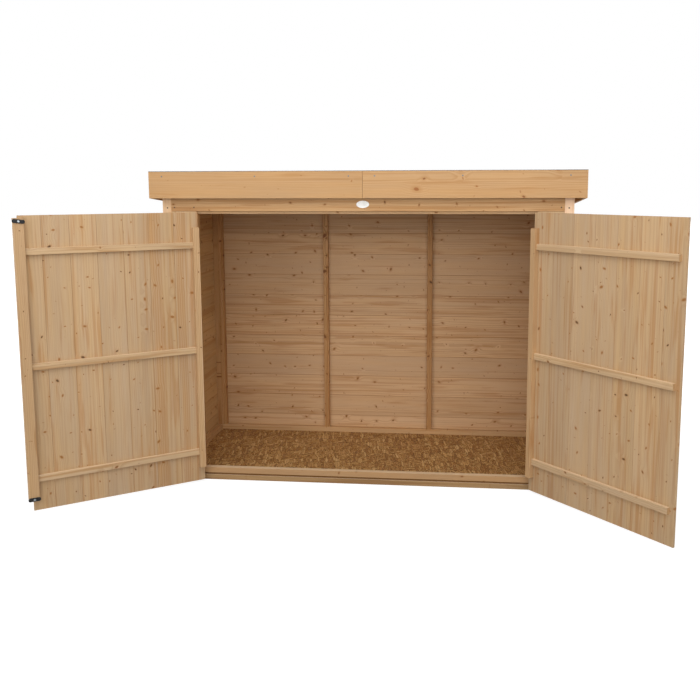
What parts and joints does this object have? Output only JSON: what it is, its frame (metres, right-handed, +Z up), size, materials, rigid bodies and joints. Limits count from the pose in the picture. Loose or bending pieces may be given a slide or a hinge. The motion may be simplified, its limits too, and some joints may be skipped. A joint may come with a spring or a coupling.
{
  "type": "pent storage unit",
  "caption": "Free-standing timber garden store with a sloping felted roof, boarded walls, a strand board floor and ledged double doors that swing on tee hinges.",
  "frame": {"origin": "on the ground under the middle of the frame, on the underside of the middle bearer", "axes": "+X to the right seen from the front, +Y from the doors to the rear wall, +Z up"},
  "size_m": [2.6195, 1.3968, 1.439],
  "materials": {
    "boarding": "bare planed softwood",
    "framing": "bare sawn softwood",
    "fascia_timber": "honey-toned planed softwood",
    "strand_board": "pressed wood strands",
    "roofing_felt": "mineral-faced bitumen felt",
    "black_iron": "black semi-gloss",
    "zinc_screw": "bright zinc plate"
  },
  "bodies": {
    "root": {"barge_board_left": "fascia_timber", "barge_board_right": "fascia_timber", "fascia_left": "fascia_timber", "fascia_right": "fascia_timber", "floor_bearers": "framing", "floor_sheet": "strand_board", "front_bottom_rail": "framing", "front_corner_posts": "framing", "front_header_rail": "framing", "front_hinge_posts": "framing", "front_top_plate": "framing", "front_trim_left": "boarding", "front_trim_right": "boarding", "hinge_pins": "black_iron", "hinge_plates": "black_iron", "jamb_board_left": "boarding", "jamb_board_right": "boarding", "left_side_boards": "boarding", "left_side_bottom_rail": "framing", "left_side_posts": "framing", "left_side_top_rail": "framing", "lintel_boards": "boarding", "rear_boards": "boarding", "rear_bottom_rail": "framing", "rear_corner_posts": "framing", "rear_studs": "framing", "rear_top_plate": "framing", "rear_trim_left": "boarding", "rear_trim_right": "boarding", "right_side_boards": "boarding", "right_side_bottom_rail": "framing", "right_side_posts": "framing", "right_side_top_rail": "framing", "roof_felt": "roofing_felt", "roof_front_batten": "framing", "roof_joint_bearer": "framing", "roof_rear_batten": "framing", "roof_sheet_left": "strand_board", "roof_sheet_right": "strand_board", "roof_side_battens": "framing"},
    "left_door": {"left_door_boards": "boarding", "left_door_hinge_batten": "framing", "left_door_ledge_bottom": "framing", "left_door_ledge_middle": "framing", "left_door_ledge_top": "framing", "left_door_astragal": "framing", "left_hinge_straps": "black_iron", "turn_button_screws": "zinc_screw", "pad_bolt_keeper": "black_iron"},
    "right_door": {"right_door_boards": "boarding", "right_door_hinge_batten": "framing", "right_door_ledge_bottom": "framing", "right_door_ledge_middle": "framing", "right_door_ledge_top": "framing", "right_hinge_straps": "black_iron", "pad_bolt_case": "black_iron"},
    "turn_button_top": {"turn_button_top": "black_iron"},
    "turn_button_bottom": {"turn_button_bottom": "black_iron"},
    "pad_bolt_bar": {"pad_bolt_bar": "black_iron"}
  },
  "joints": [
    {"name": "left_door_hinge", "type": "hinge", "parent": "root", "child": "left_door", "pos_m": [-0.7585, -0.387, 0.6], "axis": [0, 0, -1], "range_deg": [-143.4, 36.6]},
    {"name": "right_door_hinge", "type": "hinge", "parent": "root", "child": "right_door", "pos_m": [0.7585, -0.387, 0.6], "axis": [0, 0, 1], "range_deg": [-130.9, 49.1]},
    {"name": "turn_button_top_pivot", "type": "hinge", "parent": "left_door", "child": "turn_button_top", "pos_m": [-1.33613, -0.87552, 1.2345], "axis": [0.5962, -0.8028, 0], "continuous": true},
    {"name": "turn_button_bottom_pivot", "type": "hinge", "parent": "left_door", "child": "turn_button_bottom", "pos_m": [-1.33613, -0.87552, 0.0705], "axis": [0.5962, -0.8028, 0], "continuous": true},
    {"name": "pad_bolt_slide", "type": "slide", "parent": "right_door", "child": "pad_bolt_bar", "axis": [0.6547, -0.7559, 0], "range_m": [0, 0.058]}
  ]
}
